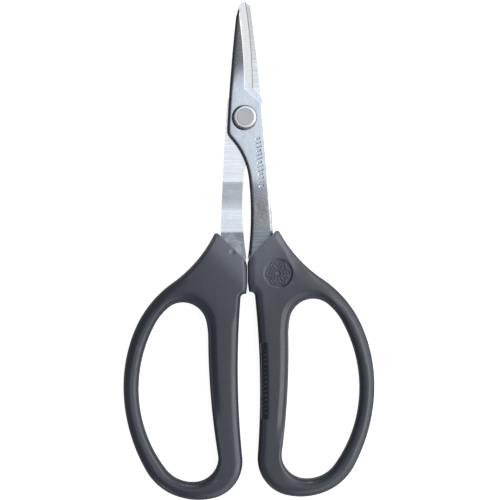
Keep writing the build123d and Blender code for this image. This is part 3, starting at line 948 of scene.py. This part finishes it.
def chromed_steel(name, side):
    """Satin hard chrome over the forged outer faces, rougher and darker at the shank's end, with painted
    shade on the spine-side chamfers, down the shank's bend and on the bevel, and a painted shadow along the
    cutting edge.

    side is 1 for the front blade and -1 for the rear one, which is turned over."""
    paint = Paint(name, (0.60, 0.655, 0.73), 1.0, 0.24)
    place = paint.place()
    along = paint.axis(place, "Y")
    cloud = paint.noise(place, (0.22, 0.14, 0.22), 5, 0.7, 0.6)
    grain = paint.noise(place, (1.9,) * 3, 3, 0.6)
    shaken = paint.math("ADD", along, paint.spread(cloud, 0.3, 0.7, -2.5, 2.5))
    colour = paint.blend((0.43, 0.485, 0.56), (0.50, 0.555, 0.63), cloud, 0.3, 0.7)
    colour = paint.blend(colour, (0.60, 0.61, 0.62), along, 10.0, 34.0, 0.7)
    # painted shade: darker violet-grey down the shank towards its bend, where the curving face reflects
    # less light
    colour = paint.blend(colour, (0.50, 0.50, 0.56), shaken, -13.0, -31.0, 0.68)
    dull = paint.spread(shaken, *CHROME_MATT_Y)
    patch = paint.blend((0.19, 0.20, 0.22), (0.34, 0.36, 0.37), grain, 0.38, 0.62)
    lines = paint.noise(place, (0.12, 3.0, 3.0), 3, 0.6)
    lower = paint.blend((0.18, 0.21, 0.24), (0.27, 0.31, 0.35), lines, 0.36, 0.64)
    patch = paint.blend(patch, lower, along, *CHROME_GROUND_Y)
    colour = paint.mix(dull, colour, patch)
    speck = paint.noise(place, (2.6,) * 3, 1, 0.5)
    colour = paint.blend(colour, (0.12, 0.12, 0.13), speck, 0.72, 0.78, 0.5)
    # painted shade: the bevel band is painted a darker neutral grey to tone down its reflection of the key
    # light
    centre = ((EDGE_X - EDGE_RADIUS) * side, EDGE_Y, 0)
    out = paint.out_from(centre, place)
    ridge = EDGE_RADIUS - BEVEL_WIDTH
    bevel = paint.times(paint.spread(out, ridge - 0.1, ridge + 0.1),
                        paint.spread(along, BEVEL_TURN[1], HEEL_Y))
    colour = paint.mix(paint.times(bevel, 0.9), colour, (0.36, 0.37, 0.38))
    # painted shade: the spine-side chamfers are painted near-black navy
    chamfer = paint.add("Attribute", {"attribute_name": "chamfer"}, {}, "Fac")
    colour = paint.mix(paint.times(chamfer, 0.75), colour, (0.10, 0.11, 0.17))
    # painted shadow: a dark line on the cutting edge's land, where the gap between the blades lies in
    # shadow
    edge_shadow = paint.times(paint.spread(out, EDGE_RADIUS - 0.34, EDGE_RADIUS - 0.22),
                       paint.spread(along, HEEL_Y - 0.2, HEEL_Y + 0.2))
    colour = paint.mix(paint.times(edge_shadow, 0.85), colour, (0.10, 0.10, 0.11))
    paint.link(colour, "Base Color")
    rough = paint.spread(grain, 0.3, 0.7, 0.20, 0.28)
    paint.link(paint.math("ADD", rough, paint.times(dull, 0.08)), "Roughness")
    lines = paint.noise(place, (0.5, 5.0, 5.0), 3, 0.6)
    normal = paint.bump(lines, 0.0012)
    paint.link(paint.bump(grain, 0.003, normal), "Normal")
    return paint.material


def ground_steel():
    """The flat inner faces: ground across their width, darker towards the tip and from the handle's edge
    on, with painted shade on the shank's sloping bend.
    """
    paint = Paint("ground_steel", (0.66, 0.69, 0.73), 1.0, 0.24)
    place = paint.place()
    along = paint.axis(place, "Y")
    lines = paint.noise(place, (0.06, 1.8, 1.8), 4, 0.65)
    fine = paint.noise(place, (0.12, 11.0, 11.0), 2, 0.5)
    cloud = paint.noise(place, (0.3,) * 3, 4, 0.65, 0.5)
    colour = paint.blend((0.55, 0.585, 0.625), (0.73, 0.775, 0.825), lines, 0.34, 0.66)
    colour = paint.blend(colour, (0.42, 0.43, 0.44), along, 8.0, 36.0, 0.75)
    strokes = paint.noise(place, (0.1, 2.4, 2.4), 2, 0.5)
    stroked = paint.times(paint.spread(strokes, 0.4, 0.56, 0.4, 0.0),
                          paint.spread(along, 0.0, 8.0, 0.3, 1.0))
    colour = paint.mix(stroked, colour, (0.36, 0.37, 0.39))
    # painted shade: the bend's sloping face is painted darker, lightening towards its foot; the flat after
    # it takes its own colour
    slope_shade = paint.blend((0.36, 0.39, 0.43), (0.40, 0.44, 0.48), cloud, 0.3, 0.7)
    slope_shade = paint.blend(slope_shade, (0.48, 0.54, 0.58), along, -28.5, -33.3, 0.9)
    colour = paint.blend(colour, slope_shade, along, BEND_Y[0] + 0.2, BEND_Y[0] - 0.2)
    level = paint.blend((0.55, 0.60, 0.67), (0.61, 0.66, 0.73), cloud, 0.3, 0.7)
    colour = paint.blend(colour, level, along, BEND_Y[1] + 0.7, BEND_Y[1] - 0.3)
    # darker from the handle's front edge on, into the handle
    tang_dark = paint.blend((0.17, 0.195, 0.23), (0.27, 0.30, 0.34), cloud, 0.35, 0.6)
    colour = paint.blend(colour, tang_dark, along, *INNER_DARK_Y)
    paint.link(colour, "Base Color")
    paint.link(paint.spread(lines, 0.3, 0.7, 0.18, 0.28), "Roughness")
    normal = paint.bump(lines, 0.003)
    paint.link(paint.bump(fine, 0.0012, normal), "Normal")
    return paint.material


def turned_steel():
    """Plated steel turned on a lathe: fine rings about the pivot, a few dark specks, and a painted
    highlight on the polished ring round the head.
    """
    paint = Paint("bolt_steel", (0.50, 0.52, 0.55), 1.0, 0.3)
    place = paint.place()
    out = paint.out_from((0, 0, 0), place)
    ring_place = paint.add("CombineXYZ", {}, {"X": out, "Z": paint.axis(place, "Z")}, "Vector")
    rings = paint.noise(ring_place, (6.0, 1.0, 3.0), 3, 0.6)
    speck = paint.noise(place, (1.7,) * 3, 2, 0.5)
    colour = paint.blend((0.35, 0.37, 0.405), (0.46, 0.48, 0.52), rings, 0.3, 0.7)
    colour = paint.blend(colour, (0.16, 0.15, 0.15), speck, 0.66, 0.72, 0.7)
    # painted highlight: the polished ring round the head is painted lighter, standing in for its bright
    # reflection
    colour = paint.blend(colour, (0.72, 0.75, 0.79), out, HEAD_RING - 0.05, HEAD_RING + 0.05)
    paint.link(colour, "Base Color")
    paint.link(paint.spread(rings, 0.3, 0.7, 0.24, 0.38), "Roughness")
    paint.link(paint.bump(rings, 0.006), "Normal")
    return paint.material


def shaded_washer_steel():
    """A washer painted near black to stand in for the shade of the bolt head over it, rubbed grey here and
    there.
    """
    paint = Paint("washer_steel", (0.12, 0.12, 0.13), 1.0, 0.32)
    place = paint.place()
    rub = paint.noise(place, (1.4,) * 3, 4, 0.65)
    colour = paint.blend((0.10, 0.10, 0.115), (0.20, 0.20, 0.215), rub, 0.4, 0.7)
    paint.link(colour, "Base Color")
    paint.link(paint.spread(rub, 0.3, 0.7, 0.26, 0.4), "Roughness")
    paint.link(paint.bump(rub, 0.004), "Normal")
    return paint.material


def dress(thing, material):
    """Gives every material slot of a piece the material."""
    if not thing.material_slots:
        thing.data.materials.append(material)
    for part_slot in thing.material_slots:
        part_slot.material = material


# ---- the object ----
fastener = turned_steel()
grip_materials = [handle_plastic()]
ground = ground_steel()
front_materials = [chromed_steel("chromed_front", 1), ground]
rear_materials = [chromed_steel("chromed_rear", -1), ground]
for node_name in ("spring_washer", "pivot_nut"):
    dress(nodes[node_name], fastener)
# the head washer takes painted shade: a near-black colour for the head's shadow on it
dress(nodes["head_washer"], shaded_washer_steel())

moulding = build_moulding()
round_hole = circle((0, 0), BOLT_RADIUS + BOLT_PLAY, HOLE_POINTS)
keyed_hole = circle((0, 0), BOLT_RADIUS, HOLE_POINTS)
keyed_hole = np.clip(keyed_hole, (-BOLT_FLAT, -BOLT_RADIUS), (BOLT_FLAT, BOLT_RADIUS))
front = build_blade(FRONT_TIP, round_hole[::-1], True)
rear = build_blade(REAR_TIP, keyed_hole[::-1], False)
for name, solid, up, is_turned, materials, slot, node_name, body in (
        ("right_grip", moulding, STAGGER, False, grip_materials, "handle_plastic", "right_handle",
         "front_half"),
        ("left_grip", moulding, -STAGGER, True, grip_materials, "handle_plastic", "left_handle",
         "rear_half"),
        ("front_snip", front, 0, False, front_materials, "blade_steel", "front_blade", "front_half"),
        ("pivot_screw", build_bolt(), 0, False, [fastener], "bolt_steel", "pivot_bolt", "rear_half"),
        ("rear_snip", rear, 0, True, rear_materials, "blade_steel", "rear_blade", "rear_half")):
    piece = make_piece(name, *solid, up, is_turned, materials)
    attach(piece, body)
    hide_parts(node_name)

# ---- floor, lights and camera ----
FLOOR_REACH = 3.0
FLOOR_GLOW = 0.9  # seen by the camera only: near white, but it doesn't light the snips
VIEW_TILT = math.radians(-0.81)  # the snips lean this much in the picture
VIEW_CENTRE = Vector((0.00105, 0.000115, PIVOT.z))
CAMERA_HEIGHT = 1.0
TO_WINDOW = (0.99, 0.1, 0)
WINDOW_SPAN = (-0.3, 0.95)  # the room's light goes from the darker to the brighter in between
ROOM_LIGHT = (0.14, 1.8)


def make_floor():
    """A plain pale square under the snips."""
    corners = [(x * FLOOR_REACH, y * FLOOR_REACH, 0) for x, y in ((-1, -1), (1, -1), (1, 1), (-1, 1))]
    mesh = bpy.data.meshes.new("floor")
    mesh.from_pydata(corners, [], [(0, 1, 2, 3)])
    floor = add_object("floor", mesh)
    paint = Paint("floor_white", (0.50, 0.50, 0.50), 0.0, 0.9)
    paint.shader.inputs["Specular IOR Level"].default_value = 0.0
    paint.shader.inputs["Emission Color"].default_value = (1, 1, 1, 1)
    seen = paint.add("LightPath", {}, {}, "Is Camera Ray")
    paint.link(paint.times(seen, FLOOR_GLOW), "Emission Strength")
    dress(floor, paint.material)


def area_light(name, place, width, height, radiance, aim=(0, 0, 0)):
    """A rectangular softbox whose face has the given brightness."""
    data = bpy.data.lights.new(name, "AREA")
    data.shape = "RECTANGLE"
    data.size, data.size_y = width, height
    data.energy = radiance * math.pi * width * height
    lamp = add_object(name, data)
    lamp.location = place
    lamp.rotation_euler = (Vector(aim) - Vector(place)).to_track_quat("-Z", "Y").to_euler()


def make_world():
    """A room that is dark on the left and bright towards the right."""
    world = bpy.data.worlds.new("room")
    world.use_nodes = True
    tree = world.node_tree
    back = tree.nodes["Background"]
    towards = add_node(tree, "TexCoord", {}, {}, "Generated")
    lean = add_node(tree, "VectorMath", {"operation": "DOT_PRODUCT"}, {0: towards, 1: TO_WINDOW}, "Value")
    inputs = {"Value": lean, "From Min": WINDOW_SPAN[0], "From Max": WINDOW_SPAN[1],
              "To Min": ROOM_LIGHT[0], "To Max": ROOM_LIGHT[1]}
    fade = add_node(tree, "MapRange", {"interpolation_type": "SMOOTHSTEP"}, inputs, "Result")
    tree.links.new(fade, back.inputs["Strength"])
    back.inputs["Color"].default_value = (1, 1, 1, 1)
    bpy.context.scene.world = world


def make_camera():
    """A long lens straight above the snips."""
    data = bpy.data.cameras.new("camera")
    data.lens = 200
    data.sensor_width = 36
    camera = add_object("camera", data)
    camera.location = VIEW_CENTRE + Vector((0, 0, CAMERA_HEIGHT))
    camera.rotation_euler = (0, 0, VIEW_TILT)
    bpy.context.scene.camera = camera


make_floor()
make_world()
area_light("overhead", (0.01, 0.15, 1.25), 0.54, 0.54, 1.0, aim=(0.01, 0.15, 0))
area_light("key", (0.80, 0.05, 0.80), 1.2, 0.6, 2.1)
area_light("fill_below", (0.3, -0.85, 0.55), 0.6, 0.4, 1.6)
area_light("glint_above", (0.05, 0.9, 0.28), 0.25, 0.08, 14)
area_light("glint_below", (-0.55, -0.75, 0.22), 0.2, 0.06, 12)
make_camera()
bpy.context.scene.view_settings.view_transform = "Standard"
